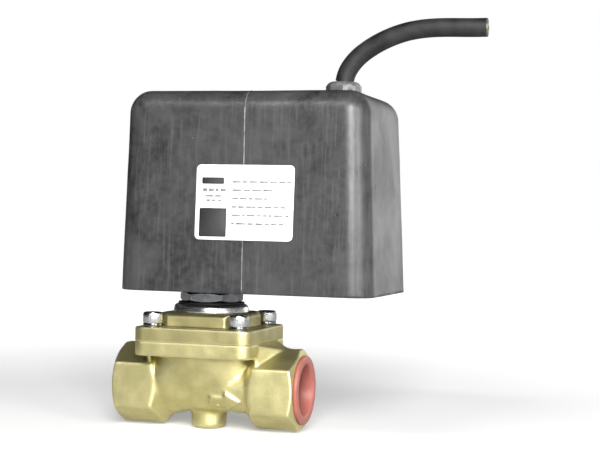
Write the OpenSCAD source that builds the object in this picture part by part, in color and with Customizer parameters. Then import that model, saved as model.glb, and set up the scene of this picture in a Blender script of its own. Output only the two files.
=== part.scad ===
// Servo-assisted diaphragm solenoid valve with threaded ports and a potted magnet head.
// X runs along the pipe and Z up along the armature. The origin is where those two axes cross.

/* [Valve body] */
// Distance between the two port faces
face_to_face = 67; // [66:0.5:69]
// Width across the flats of the hexagon ends
hex_af = 27; // [26.5:0.5:28]
// How far the middle of the body lies from the bonnet axis, towards the outlet
port_shift = 1.2; // [0:0.1:1.5]
// Length of the hexagon part of each end
hex_len = 15.5; // [15:0.25:16]
// Radius of each port at the crests of its G 1/2 thread
port_r = 9.3; // [9:0.1:9.5]
// Length of the thread in each port
thread_len = 14; // [13:0.5:14.5]
// Radius of the bore under the main valve seat
seat_r = 6.5; // [6:0.1:6.6]

/* [Bonnet] */
// Side of the square bonnet plate and of the body flange under it
bonnet_w = 42.8; // [42:0.2:44]
// Thickness of the bonnet plate
bonnet_t = 5; // [4.8:0.1:5.2]
// Height of the raised boss between the screws
boss_h = 5; // [4.8:0.1:5.2]
// Distance between neighbouring bonnet screws
screw_pitch = 31.6; // [31.4:0.1:32]

/* [Neck] */
// Outer radius of the armature guide tube
tube_r = 7; // [6.9:0.05:7.1]
// Width across the flats of the lock nut under the magnet head
lock_nut_af = 20; // [19:0.5:21]
// Turn of the lock nut about the tube
lock_nut_turn = 7; // [0:1:30]

/* [Drive] */
// Stroke of the armature
armature_stroke = 4; // [3.5:0.1:4]
// Stroke of the main diaphragm, which the armature lifts
diaphragm_stroke = 3; // [2.5:0.1:3]

/* [Magnet head] */
// Height of the underside of the head above the pipe axis
head_base = 34.4; // [34.2:0.1:35]
// Height of the head
head_h = 68.6; // [68:0.2:72]
// Distance from the tube axis to the near end of the head
head_left = 24.5; // [24.5:0.5:27]
// Distance from the tube axis to the far end of the head
head_right = 65; // [64:0.5:70]
// Depth of the head from front to back
head_w = 59; // [59:0.5:63]
// Radius of the rounded edges of the head
edge_r = 8; // [6:0.5:9]
// Wall thickness of the moulded housing
wall = 2.5; // [2:0.1:2.6]

/* [Label] */
// Width of the label
label_w = 34.4; // [30:0.2:36]
// Height of the label
label_h = 25.2; // [20:0.2:27]

/* [Cable] */
// Outer diameter of the cable
cable_d = 6.4; // [6:0.1:6.4]
// Distance from the tube axis to the cable gland
gland_x = 47; // [46:0.5:48]

/* [Hidden] */
$fn = 64;

// Clearances: fixed parts that only touch, sliding parts, and loose holes
touch = 0.02;
slide_gap = 0.08;
loose = 0.3;

// Body casting
end_x = face_to_face / 2;
inlet_x = port_shift - end_x;
outlet_x = port_shift + end_x;
hex_top = 14.2;             // half height of the hexagon, whose top and bottom corners are cut off
face_chamfer_r = 12.9;      // radius where the turned chamfer meets the port face
face_chamfer = 1.7;
shoulder_len = 4.3;
run_r = 8.8;                // half height of the passage casting between the ends
run_side = 3.5;             // how far its two side rounds lie from the middle
foot_r = 6.3;
foot_z = -15;
mouth_chamfer = 1.3;
arrow_x = 4.3;
arrow_z = -4.2;
arrow_len = 11.5;
arrow_shaft = 1.7;          // half height of the shaft, then of the head
arrow_head = 3.4;
arrow_t = 0.9;
flange_t = 5;
parting_z = 16.3;           // where the bonnet sits on the body flange
flange_z = parting_z - flange_t;
corner_r = 4;
bowl_r = 17.8;              // round bowl under the flange
belly_x = 6;                // flattened ball that fills the bowl out towards the outlet
belly_z = 5.2;
belly_r = 13.8;
web_top = 23;               // width of the web at the flange's top, then lower down, and its reach
web_foot = 25;
web_reach = 8;
chamber_r = 15.5;
chamber_floor = 9;
seat_wall = 2.5;
seat_z = 12.5;
rim_r = 18.5;               // clamped rim of the diaphragm
rim_t = 1.8;

// Bonnet and neck
plate_z = parting_z + bonnet_t;
boss_z = plate_z + boss_h;
boss_w = 30.6;
boss_flat = 21;
boss_chamfer = 1.2;
collar_top_z = boss_z + 2.8;
collar_r = 13.4;
collar_shoulder_r = 13.05;
collar_top_r = 12.3;
seal_ring_t = 0.8;
lock_nut_z = collar_top_z + seal_ring_t;
toothed_t = 1.2;
toothed_z = head_base - toothed_t - 0.05;
tube_wall = 0.5;
tube_in_r = tube_r - tube_wall;
tube_flange_z = boss_z - 2.3;
tube_flange_t = 1.2;
tube_flange_r = 9.8;
tube_top_z = head_base + 55;
spigot_r = 10.4;

// Cap screws, M4 with a spring washer
m4_r = 2;
m4_core_r = 1.62;
m4_head_r = 3.5;
m4_head_h = 4;
m4_chamfer = 0.4;
m4_len = 10;
m4_socket_af = 3;
m4_hole = 4.4;              // depth of the tapped holes in the body flange
m4_washer_t = 1.1;
screw_at = [for (x = [-1, 1], y = [-1, 1]) [x * screw_pitch / 2, y * screw_pitch / 2]];

// Diaphragm assembly, from the seat up
carrier_z = 13.7;
carrier_r = 8.6;
web_z = 15.25;
web_t = 1;
support_r = 9;
support_t = 1.1;
stem_r = 2.5;
lip_z = 19.7;               // lip of the lift cage
lip_t = 0.6;
lost_motion = armature_stroke - diaphragm_stroke + 0.1;
button_z = lip_z + lip_t + lost_motion;
button_t = 0.8;
button_r = 4;
cage_r = 5.6;
cage_in_r = 4.6;
pilot_seat_z = button_z + button_t;

// Armature and core
armature_z = pilot_seat_z + 1.2;
armature_top = 57;
core_z = armature_top + armature_stroke + 0.5;
armature_r = tube_in_r - slide_gap;
spring_pocket_z = 43;
spring_pocket_r = 3.4;
spring_r = 2.7;
spring_wire = 0.4;
spring_turns = 8;
spring_top = core_z + 1.5;

// Magnet head
draft_side = 0.045;         // lean of the front and back per millimetre of height
draft_left = 0.014;
draft_right = 0.049;
head_top = head_base + head_h;
coil_z = 40;
coil_h = 44;
bobbin_flange = 1.5;
bobbin_r = 19;
winding_r = 18;
bobbin_tube = 1.5;
yoke_t = 3.4;
yoke_x = 16;
yoke_y = 22.4;
yoke_side = 2.8;
yoke_z = coil_z - yoke_t - 0.1;
yoke_top = coil_z + coil_h + yoke_t + 0.1;
bush_r = 12;
pocket_y = 24;
board_x = 27;
board_t = 1.6;
board_w = 34;
board_z = 48;
board_h = 40;
board_face = board_x + board_t;
terminal_pitch = 6;
terminal_z = 70;
terminal_h = 10;
terminal_d = 11;
wire_r = 0.8;

// Gland and cable
gland_af = 11.7;
gland_turn = 14;
gland_dome = 0.9;
gland_top = head_top + 4.5;
gland_washer_t = 0.4;
gland_sleeve_r = 4.6;
cable_r = cable_d / 2;
cable_sides = 12;
cable_inner_z = 92;
// The free cable rises from the gland, leans over and runs level to its cut end
cable_route = [
    [47.2, 107.5], [47.5, 109], [48, 110.6], [48.8, 112.2], [49.9, 113.8], [51.2, 115.3], [52.8, 116.8],
    [54.8, 118.3], [57.3, 119.9], [60.3, 121.5], [63.8, 123], [67.8, 124.3], [72.2, 125.2],
    [77.2, 125.7], [82.2, 125.8], [87, 125.7], [91.7, 125.6], [96.5, 125.6]
];

// ---- shared shapes -------------------------------------------------------------------------

module ring(r_in, r_out, z, h) {
    translate([0, 0, z]) difference() {
        cylinder(r = r_out, h = h);
        translate([0, 0, -1]) cylinder(r = r_in, h = h + 2);
    }
}

module rounded_square(w, r, h) {
    half = w / 2 - r;
    linear_extrude(h) union() {
        square([w, w - 2 * r], center = true);
        square([w - 2 * r, w], center = true);
        for (x = [-half, half], y = [-half, half]) translate([x, y]) circle(r);
    }
}

module hexagon(af, h) {
    cylinder(r = af / 2 / cos(30), h = h, $fn = 6);
}

function unit(v) = v / norm(v);
function tangent(path, i) =
    unit(path[min(i + 1, len(path) - 1)] - path[max(i - 1, 0)]);

// A round tube along a path; ref is a direction that the path never runs along
module swept_tube(path, r, sides, ref) {
    points = [
        for (i = [0:len(path) - 1])
        let (t = tangent(path, i), b = unit(cross(t, ref)), n = cross(b, t))
        for (j = [0:sides - 1])
        let (a = 360 * j / sides)
        path[i] + r * (cos(a) * n + sin(a) * b)
    ];
    last = (len(path) - 1) * sides;
    walls = [
        for (i = [0:len(path) - 2], j = [0:sides - 1])
        let (k = (j + 1) % sides, a = i * sides, b = a + sides)
        each [[b + j, b + k, a + k], [b + j, a + k, a + j]]
    ];
    start_cap = [for (j = [0:sides - 1]) j];
    end_cap = [for (j = [sides - 1:-1:0]) last + j];
    polyhedron(points, concat(walls, [start_cap, end_cap]), convexity = 6);
}

// ---- valve body and bonnet -----------------------------------------------------------------

// Places a part of the +X end at the outlet, and its mirror image at the inlet
module at_both_ends() {
    translate([port_shift, 0, 0]) {
        children();
        mirror([1, 0, 0]) children();
    }
}

// The +X hexagon end with its turned chamfer outside and its shoulder inside
module hex_end() {
    inner_x = end_x - hex_len - shoulder_len;
    big = 16.5;
    intersection() {
        translate([inner_x, 0, 0]) rotate([0, 90, 0]) hexagon(hex_af, hex_len + shoulder_len);
        translate([inner_x, -hex_af, -hex_top]) cube([end_x, 2 * hex_af, 2 * hex_top]);
        rotate([0, 90, 0]) rotate_extrude() polygon([
            [0, inner_x], [run_r, inner_x], [hex_top + 0.4, end_x - hex_len], [big, end_x - hex_len],
            [big, end_x - face_chamfer], [face_chamfer_r, end_x], [0, end_x]
        ]);
    }
}

module port_bore() {
    rotate([0, 90, 0]) {
        translate([0, 0, end_x - thread_len]) cylinder(r = port_r, h = thread_len + 1);
        translate([0, 0, end_x - mouth_chamfer])
            cylinder(r1 = port_r, r2 = port_r + mouth_chamfer, h = mouth_chamfer);
        translate([0, 0, end_x - 0.01]) cylinder(r = port_r + mouth_chamfer, h = 1);
    }
}

// Casting round the outlet passage, grown by a margin
module run_casting(margin) {
    hull() for (y = [-run_side, run_side])
        translate([-17, y, 0]) rotate([0, 90, 0]) cylinder(r = run_r + margin, h = 34, $fn = 32);
}

// Web that blends the +X side of the flange into the top of the hexagon
module end_web() {
    side_x = bonnet_w / 2 - port_shift - 1;
    hull() {
        translate([side_x, -web_top / 2, flange_z]) cube([1, web_top, flange_t - 0.3]);
        translate([side_x, -web_foot / 2, flange_z - 4]) cube([1, web_foot, 4]);
        translate([side_x + web_reach, -1, flange_z]) cube([1, 2, hex_top - flange_z]);
    }
}

// Raised arrow on the front that points to the outlet
module flow_arrow() {
    intersection() {
        translate([arrow_x, 0, arrow_z]) rotate([90, 0, 0]) linear_extrude(30) polygon([
            [0, -arrow_shaft], [arrow_len / 2, -arrow_shaft], [arrow_len / 2, -arrow_head],
            [arrow_len, 0], [arrow_len / 2, arrow_head], [arrow_len / 2, arrow_shaft], [0, arrow_shaft]
        ]);
        run_casting(arrow_t);
    }
}

module body_casting() {
    at_both_ends() hex_end();
    // Bowl of the diaphragm chamber, drawn down to the inlet
    hull() {
        translate([inlet_x + hex_len - 2, 0, 0]) rotate([0, 90, 0]) cylinder(r = 12, h = 2, $fn = 32);
        translate([0, 0, flange_z]) cylinder(r = bowl_r, h = 1, $fn = 48);
        translate([belly_x, 0, belly_z]) scale([1, 1, 0.8]) sphere(belly_r, $fn = 32);
    }
    at_both_ends() end_web();
    run_casting(0);
    // Foot under the seat
    translate([0, 0, foot_z + 1]) cylinder(r = foot_r, h = -foot_z);
    translate([0, 0, foot_z]) cylinder(r1 = foot_r - 1, r2 = foot_r, h = 1);
    // Flange
    translate([0, 0, flange_z]) rounded_square(bonnet_w, corner_r, flange_t);
    flow_arrow();
}

module valve_body() {
    color([0.80, 0.77, 0.52]) difference() {
        body_casting();
        at_both_ends() port_bore();
        // Inlet: from the left port up into the ring chamber round the seat
        translate([inlet_x + thread_len - 1, 0, 0]) rotate([0, 90, 0]) cylinder(r = 7.5, h = 8);
        translate([-19.6, 0, 0]) rotate([0, 28, 0]) cylinder(r = 4, h = 15);
        ring(seat_r + seat_wall, chamber_r, chamber_floor, 10);
        translate([0, 0, seat_z]) cylinder(r = chamber_r, h = 10);
        translate([0, 0, parting_z - rim_t]) cylinder(r = rim_r + touch, h = rim_t + 1);
        // Outlet: down through the seat and out to the right port
        translate([0, 0, -seat_r + 0.5]) cylinder(r = seat_r, h = 20);
        rotate([0, 90, 0]) cylinder(r = seat_r, h = outlet_x - thread_len + 1);
        // Tapped holes for the bonnet screws
        for (p = screw_at)
            translate([p[0], p[1], parting_z - m4_hole]) cylinder(r = m4_core_r + touch, h = m4_hole + 1);
    }
}

// Square boss with cut corners between the screws, its top edge chamfered
module bonnet_boss() {
    cut = (boss_w + boss_flat) / sqrt(2);
    intersection() {
        hull() {
            translate([-boss_w / 2, -boss_w / 2, plate_z - 1])
                cube([boss_w, boss_w, boss_h + 1 - boss_chamfer]);
            inner = boss_w - 2 * boss_chamfer;
            translate([-inner / 2, -inner / 2, boss_z - 0.01]) cube([inner, inner, 0.01]);
        }
        translate([0, 0, plate_z - 1]) rotate([0, 0, 45])
            translate([-cut / 2, -cut / 2, 0]) cube([cut, cut, 20]);
    }
}

module bonnet() {
    color([0.82, 0.78, 0.54]) difference() {
        union() {
            translate([0, 0, parting_z]) rounded_square(bonnet_w, corner_r, bonnet_t);
            bonnet_boss();
        }
        // Control chamber over the diaphragm, stepped in towards the tube
        translate([0, 0, parting_z - 1]) cylinder(r = chamber_r - 0.5, h = 4);
        translate([0, 0, parting_z]) cylinder(r = support_r + 0.6, h = plate_z + 0.3 - parting_z);
        cylinder(r = tube_in_r + 0.1, h = boss_z);
        // Seats of the tube flange and of its ring seal
        translate([0, 0, tube_flange_z]) cylinder(r = spigot_r + touch, h = 10);
        ring(tube_r + 0.5, tube_flange_r - 0.4, tube_flange_z - 1.5, 3);
        for (p = screw_at) translate([p[0], p[1], 0]) cylinder(r = m4_r + 0.25, h = boss_z);
    }
}

module cap_screw() {
    head_z = plate_z + m4_washer_t;
    difference() {
        union() {
            translate([0, 0, head_z - m4_len]) cylinder(r = m4_core_r, h = m4_len);
            translate([0, 0, parting_z + 0.2]) cylinder(r = m4_r, h = head_z - parting_z);
            translate([0, 0, head_z]) cylinder(r = m4_head_r, h = m4_head_h - m4_chamfer);
            translate([0, 0, head_z + m4_head_h - m4_chamfer])
                cylinder(r1 = m4_head_r, r2 = m4_head_r - m4_chamfer, h = m4_chamfer);
        }
        translate([0, 0, head_z + m4_head_h - 2.2]) hexagon(m4_socket_af, 3);
    }
}

module cap_screws() {
    color([0.80, 0.81, 0.82]) for (p = screw_at) translate([p[0], p[1], 0]) cap_screw();
}

module spring_washers() {
    color([0.70, 0.71, 0.72]) for (p = screw_at) translate([p[0], p[1], 0]) difference() {
        ring(m4_r + 0.05, 3.4, plate_z, m4_washer_t);
        // The gap of the split ring
        translate([0, -0.3, plate_z - 1]) cube([5, 0.6, 4]);
    }
}

// ---- neck ----------------------------------------------------------------------------------

module guide_tube() {
    color([0.75, 0.76, 0.78]) union() {
        ring(tube_in_r, tube_r, tube_flange_z, tube_top_z - tube_flange_z);
        ring(tube_in_r, tube_flange_r, tube_flange_z, tube_flange_t);
    }
}

module tube_o_ring() {
    wire = 0.72;
    mid = (tube_r + 0.5 + tube_flange_r - 0.4) / 2;
    color([0.08, 0.08, 0.08]) translate([0, 0, tube_flange_z - wire - 0.03])
        rotate_extrude() translate([mid, 0]) circle(wire, $fn = 24);
}

module collar_ring() {
    spigot_z = tube_flange_z + tube_flange_t;
    color([0.74, 0.74, 0.76]) difference() {
        union() {
            rotate_extrude() polygon([
                [0, boss_z], [collar_r, boss_z], [collar_shoulder_r, boss_z + 1.7],
                [collar_top_r, collar_top_z], [0, collar_top_z]
            ]);
            translate([0, 0, spigot_z]) cylinder(r = spigot_r, h = boss_z - spigot_z + 0.5);
        }
        cylinder(r = tube_r + touch, h = head_base);
    }
}

module neck_seal_ring() {
    color([0.06, 0.06, 0.06]) ring(tube_r + touch, 11.8, collar_top_z, seal_ring_t);
}

module lock_nut() {
    h = toothed_z - lock_nut_z;
    color([0.66, 0.67, 0.69]) difference() {
        intersection() {
            translate([0, 0, lock_nut_z]) rotate([0, 0, lock_nut_turn]) hexagon(lock_nut_af, h);
            // Turned chamfer on the corners
            rotate_extrude() polygon([
                [0, lock_nut_z], [lock_nut_af / 2, lock_nut_z], [lock_nut_af / 2 + 1.6, lock_nut_z + 0.8],
                [lock_nut_af / 2 + 1.6, lock_nut_z + h], [0, lock_nut_z + h]
            ]);
        }
        cylinder(r = tube_r + touch, h = head_base);
    }
}

module toothed_washer() {
    teeth = 16;
    color([0.30, 0.30, 0.31]) union() {
        ring(tube_r + touch, 9.6, toothed_z, toothed_t);
        for (i = [0:teeth - 1]) rotate([0, 0, 360 * i / teeth])
            translate([9, -0.9, toothed_z]) cube([2.2, 1.8, toothed_t]);
    }
}

module fixed_core() {
    color([0.62, 0.63, 0.65]) difference() {
        translate([0, 0, core_z]) cylinder(r = tube_in_r - touch, h = tube_top_z - core_z);
        translate([0, 0, core_z - 1]) cylinder(r = spring_pocket_r, h = spring_top - core_z + 1);
    }
}

// ---- diaphragm assembly --------------------------------------------------------------------

module diaphragm() {
    color([0.12, 0.12, 0.12]) difference() {
        union() {
            ring(chamber_r + 0.1, rim_r, parting_z - rim_t, rim_t);
            translate([0, 0, web_z]) cylinder(r = chamber_r + 1, h = web_t);
        }
        cylinder(r = stem_r + 0.1, h = plate_z);
        // Equalising hole that feeds the control chamber
        translate([0, 12, 0]) cylinder(r = 0.5, h = plate_z);
    }
}

module seal_carrier() {
    color([0.80, 0.70, 0.42]) union() {
        ring(stem_r + touch, carrier_r, carrier_z, web_z - carrier_z - touch);
        ring(8, carrier_r, carrier_z - 0.8, 1);
    }
}

module main_seal() {
    color([0.10, 0.10, 0.10]) ring(4.8, 7.9, seat_z + 0.05, carrier_z - seat_z - 0.05 - touch);
}

module support_plate() {
    color([0.72, 0.73, 0.75]) ring(stem_r + touch, support_r, web_z + web_t + touch, support_t);
}

module pilot_nozzle() {
    shoulder_z = web_z + web_t + support_t + 2 * touch;
    color([0.80, 0.70, 0.42]) difference() {
        union() {
            translate([0, 0, 10.8]) cylinder(r = stem_r, h = shoulder_z - 10.8 + 0.5);
            translate([0, 0, shoulder_z]) cylinder(r = button_r, h = 1);
            translate([0, 0, shoulder_z]) cylinder(r = 2.2, h = button_z - shoulder_z + 0.5);
            translate([0, 0, button_z]) cylinder(r = button_r, h = button_t - 0.2);
            translate([0, 0, pilot_seat_z - 0.4]) cylinder(r = 1.6, h = 0.4);
        }
        cylinder(r = 0.8, h = armature_z);
    }
}

module diaphragm_nut() {
    h = 2.4;
    color([0.80, 0.70, 0.42]) translate([0, 0, carrier_z - h - touch]) difference() {
        hexagon(8, h);
        translate([0, 0, -1]) cylinder(r = stem_r + touch, h = h + 2);
    }
}

// ---- armature ------------------------------------------------------------------------------

module armature() {
    color([0.70, 0.71, 0.73]) difference() {
        union() {
            translate([0, 0, armature_z]) cylinder(r = armature_r, h = armature_top - armature_z - 0.5);
            translate([0, 0, armature_top - 0.5]) cylinder(r1 = armature_r, r2 = armature_r - 0.5, h = 0.5);
        }
        translate([0, 0, spring_pocket_z]) cylinder(r = spring_pocket_r, h = 20);
        translate([0, 0, armature_z - 1]) cylinder(r = 2.6, h = 2.2);
        ring(cage_in_r - touch, cage_r + touch, armature_z - 1, 2.2);
        // Two flats along the sides let the medium past
        for (side = [-1, 1]) translate([side * (armature_r + 1.2), 0, armature_z - 1])
            translate([-2, -0.8, 0]) cube([4, 1.6, 40]);
    }
}

module pilot_seal() {
    color([0.10, 0.10, 0.10]) translate([0, 0, pilot_seat_z + 0.04])
        cylinder(r = 2.58, h = armature_z + 1.15 - pilot_seat_z);
}

module lift_cage() {
    color([0.75, 0.76, 0.78]) union() {
        ring(cage_in_r, cage_r, lip_z, armature_z + 1.15 - lip_z);
        ring(stem_r + 0.3, cage_r, lip_z, lip_t);
    }
}

module return_spring() {
    rings = 12;
    height = spring_top - spring_pocket_z - 2 * spring_wire - 0.1;
    steps = spring_turns * rings;
    path = [
        for (i = [0:steps])
        let (a = 360 * i / rings)
        [spring_r * cos(a), spring_r * sin(a), spring_pocket_z + spring_wire + 0.05 + height * i / steps]
    ];
    color([0.70, 0.71, 0.72]) swept_tube(path, spring_wire, 8, [0, 0, 1]);
}

// ---- protective plug in the right port -----------------------------------------------------

module port_plug() {
    flange_r = 12.1;
    back = end_x + 0.05;
    front = back + 1.3;
    tip = end_x - 12.5;
    shank_r = port_r - slide_gap;
    color([0.84, 0.42, 0.38]) translate([port_shift, 0, 0]) rotate([0, 90, 0]) rotate_extrude() polygon([
        [0, tip], [shank_r - 0.5, tip], [shank_r, tip + 1.2], [shank_r, end_x - mouth_chamfer - 0.1],
        [port_r + 0.7, back], [flange_r - 0.2, back], [flange_r, back + 0.3], [flange_r, front - 0.4],
        [flange_r - 0.5, front], [port_r + 0.1, front], [port_r - 0.5, front - 0.8],
        [shank_r - 1.1, end_x - 3], [shank_r - 1.3, tip + 1.1], [0, tip + 1.1]
    ]);
}

// ---- magnet head ---------------------------------------------------------------------------

// The tapered, round-edged block of the head, set in by a margin, from height z0 up
module head_block(margin, z0) {
    r = edge_r - margin;
    hull() {
        for (level = [z0, head_top - edge_r], left = [0, 1], front = [-1, 1]) {
            up = level - head_base;
            x = left == 1 ? edge_r - head_left + draft_left * up : head_right - draft_right * up - edge_r;
            y = front * (head_w / 2 - draft_side * up - edge_r);
            translate([x, y, level]) if (level == z0) cylinder(r = r, h = 0.01, $fn = 32);
            else sphere(r, $fn = 32);
        }
    }
}

module housing() {
    color([0.20, 0.20, 0.21]) difference() {
        head_block(0, head_base);
        head_block(wall, head_base - 1);
        translate([gland_x, 0, head_top - 2 * wall]) cylinder(r = gland_sleeve_r + touch, h = 3 * wall);
    }
}

module potting() {
    inner_top = 96;
    color([0.10, 0.10, 0.11]) difference() {
        head_block(wall + touch, head_base);
        translate([-50, -50, inner_top]) cube([150, 100, 30]);
        translate([0, 0, head_base - 1]) cylinder(r = bush_r + touch, h = 3);
        // Room for the coil and yoke, for the board, and for the gland and the end of the tube
        translate([-20, -pocket_y, yoke_z - 0.1]) cube([43, 2 * pocket_y, yoke_top - yoke_z + 0.7]);
        translate([22.9, -20, board_z - 2]) cube([35, 40, 45]);
        translate([gland_x, 0, board_z]) cylinder(r = 7.6, h = 60);
        cylinder(r = tube_r + loose, h = tube_top_z + 0.5);
    }
}

module coil_bobbin() {
    bore = tube_r + slide_gap;
    color([0.90, 0.88, 0.80]) union() {
        ring(bore, bore + bobbin_tube, coil_z, coil_h);
        for (z = [coil_z, coil_z + coil_h - bobbin_flange]) ring(bore, bobbin_r, z, bobbin_flange);
    }
}

module coil_winding() {
    color([0.72, 0.40, 0.18]) ring(
        tube_r + slide_gap + bobbin_tube + touch, winding_r,
        coil_z + bobbin_flange + touch, coil_h - 2 * bobbin_flange - 2 * touch
    );
}

module magnet_yoke() {
    color([0.45, 0.46, 0.48]) difference() {
        translate([-yoke_x, -yoke_y, yoke_z]) cube([2 * yoke_x, 2 * yoke_y, yoke_top - yoke_z]);
        translate([-yoke_x - 1, -yoke_y + yoke_side, coil_z - 0.1])
            cube([2 * yoke_x + 2, 2 * (yoke_y - yoke_side), coil_h + 0.2]);
        cylinder(r = tube_r + slide_gap, h = 120);
    }
}

module pole_bush() {
    color([0.62, 0.63, 0.65]) ring(tube_r + slide_gap, bush_r, head_base, yoke_z - head_base - touch);
}

module thermal_fuse() {
    color([0.85, 0.83, 0.78]) translate([winding_r + 2.6, 0, 52]) union() {
        cylinder(r = 1.6, h = 12);
        translate([0, 0, -6]) cylinder(r = 0.4, h = 24);
    }
}

module earth_tag() {
    color([0.80, 0.72, 0.45]) translate([-4, yoke_y + touch, 60]) difference() {
        cube([8, 0.6, 16]);
        translate([4, -1, 4]) rotate([-90, 0, 0]) cylinder(r = 1.55, h = 3);
    }
}

module earth_screw() {
    color([0.75, 0.76, 0.78]) translate([0, yoke_y + touch, 64]) rotate([-90, 0, 0]) difference() {
        union() {
            cylinder(r = 1.5, h = 0.8);
            translate([0, 0, 0.62]) cylinder(r = 2.6, h = 0.8);
        }
        translate([-3, -0.3, 1]) cube([6, 0.6, 1]);
    }
}

// ---- electrics inside the head -------------------------------------------------------------

module rectifier_board() {
    color([0.12, 0.36, 0.20]) translate([board_x, -board_w / 2, board_z]) cube([board_t, board_w, board_h]);
}

module bridge_rectifier() {
    color([0.07, 0.07, 0.08]) translate([board_face + touch, -14, board_z + 3]) cube([6, 15, 12]);
}

module varistor() {
    color([0.15, 0.25, 0.55]) translate([board_face + touch, 9, board_z + 9])
        rotate([0, 90, 0]) cylinder(r = 5.5, h = 4.5);
}

function terminal_y(i) = (i - 1) * terminal_pitch;

module terminal_block() {
    body_x = board_face + touch;
    width = 3 * terminal_pitch;
    color([0.20, 0.45, 0.30]) difference() {
        translate([body_x, -width / 2, terminal_z]) cube([terminal_d, width, terminal_h]);
        // Wire ways from above and screw ways from the side
        for (i = [0:2]) {
            translate([body_x + terminal_d / 2, terminal_y(i), terminal_z + 3])
                cylinder(r = 1.6, h = terminal_h);
            translate([body_x + terminal_d / 2, terminal_y(i), terminal_z + 5])
                rotate([0, 90, 0]) cylinder(r = 1.5, h = terminal_d);
        }
    }
}

module terminal_screws() {
    color([0.78, 0.79, 0.80]) for (i = [0:2])
        translate([board_face + terminal_d - 2.5, terminal_y(i), terminal_z + 5])
        rotate([0, 90, 0]) difference() {
            cylinder(r = 1.45, h = 2.2);
            translate([-2, -0.25, 1.5]) cube([4, 0.5, 2]);
        }
}

// Two leads from the winding to the board
module coil_leads() {
    color([0.75, 0.10, 0.10]) for (y = [-5, 5])
        swept_tube([
            [winding_r + 1.1, y, 76], [winding_r + 3, y, 76.6], [winding_r + 5, y, 78],
            [winding_r + 7, y, 78.6], [board_x - touch, y, 78.6]
        ], wire_r, 8, [0, 1, 0]);
}

// Three cores from the cable down into the terminal block
module core(i, shade) {
    top_y = (i - 1) * 1.9;
    low_y = terminal_y(i);
    x = board_face + terminal_d / 2;
    color(shade) swept_tube([
        [gland_x, top_y, cable_inner_z - loose], [gland_x, top_y, 90.8],
        [gland_x - 2.5, (2 * top_y + low_y) / 3, 88.5], [gland_x - 6, (top_y + 2 * low_y) / 3, 87],
        [gland_x - 10, low_y, 86], [x + 0.8, low_y, 84.6], [x, low_y, 82], [x, low_y, 77.5]
    ], wire_r, 8, [0.2, 1, 0.1]);
}

module cable_cores() {
    core(0, [0.35, 0.20, 0.12]);
    core(1, [0.45, 0.65, 0.15]);
    core(2, [0.15, 0.30, 0.65]);
}

// ---- gland, cable and label ----------------------------------------------------------------

module cable_inner_end() {
    color([0.10, 0.10, 0.10]) translate([gland_x, 0, cable_inner_z])
        cylinder(r = cable_r, h = gland_top - cable_inner_z);
}

module gland_body() {
    color([0.16, 0.16, 0.17]) translate([gland_x, 0, 0]) difference() {
        union() {
            translate([0, 0, head_top - 9]) cylinder(r = gland_sleeve_r, h = gland_top - 0.8 - head_top + 9);
            translate([0, 0, head_top - wall - 3.6]) cylinder(r = 7, h = 3.5);
        }
        translate([0, 0, 80]) cylinder(r = cable_r + 0.05, h = 60);
        translate([0, 0, head_top - 2]) cylinder(r = 4, h = 20);
    }
}

module gland_seal() {
    color([0.05, 0.05, 0.05]) translate([gland_x, 0, 0])
        ring(cable_r + touch, 4 - touch, head_top - 2 + touch, gland_top - 1.2 - head_top + 2);
}

module gland_washer() {
    color([0.05, 0.05, 0.05]) translate([gland_x, 0, 0])
        ring(gland_sleeve_r + 0.1, 6.6, head_top, gland_washer_t);
}

module gland_nut() {
    base = head_top + gland_washer_t;
    corner = gland_af / 2 / cos(22.5);
    color([0.36, 0.36, 0.37]) translate([gland_x, 0, 0]) difference() {
        union() {
            translate([0, 0, base]) rotate([0, 0, gland_turn])
                cylinder(r = corner, h = gland_top - gland_dome - base, $fn = 8);
            translate([0, 0, gland_top - gland_dome])
                cylinder(r1 = corner - 0.5, r2 = corner - 1.1, h = gland_dome);
        }
        cylinder(r = gland_sleeve_r + touch, h = gland_top - 0.8 + touch);
        cylinder(r = cable_r + 0.2, h = 200);
    }
}

module cable() {
    route = [for (p = cable_route) [p[0], 0, p[1]]];
    color([0.09, 0.09, 0.09]) swept_tube(route, cable_r, cable_sides, [0, 1, 0]);
}

// Thin plate on the front face, following its lean
module label() {
    corner = 1.6;
    low_z = 52.3;
    lean = atan(draft_side);
    front_y = -head_w / 2 + draft_side * (low_z - head_base) - 0.01;
    color([0.93, 0.93, 0.93]) translate([4, front_y, low_z]) rotate([90 - lean, 0, 0])
        linear_extrude(0.2) union() {
            translate([corner, 0]) square([label_w - 2 * corner, label_h]);
            translate([0, corner]) square([label_w, label_h - 2 * corner]);
            for (x = [corner, label_w - corner], y = [corner, label_h - corner])
                translate([x, y]) circle(corner);
        }
}

// ---- nodes ---------------------------------------------------------------------------------

valve_body();
bonnet();
cap_screws();
spring_washers();
diaphragm();
guide_tube();
tube_o_ring();
collar_ring();
neck_seal_ring();
lock_nut();
toothed_washer();
fixed_core();
seal_carrier();
main_seal();
support_plate();
pilot_nozzle();
diaphragm_nut();
armature();
pilot_seal();
lift_cage();
return_spring();
port_plug();
housing();
potting();
coil_bobbin();
coil_winding();
magnet_yoke();
pole_bush();
thermal_fuse();
earth_tag();
earth_screw();
rectifier_board();
bridge_rectifier();
varistor();
terminal_block();
terminal_screws();
coil_leads();
cable_cores();
cable_inner_end();
gland_body();
gland_nut();
gland_seal();
gland_washer();
cable();
label();
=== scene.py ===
import contextlib
import math
import random

import bmesh
import bpy
import numpy as np
from mathutils import Matrix, Vector, noise


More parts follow.
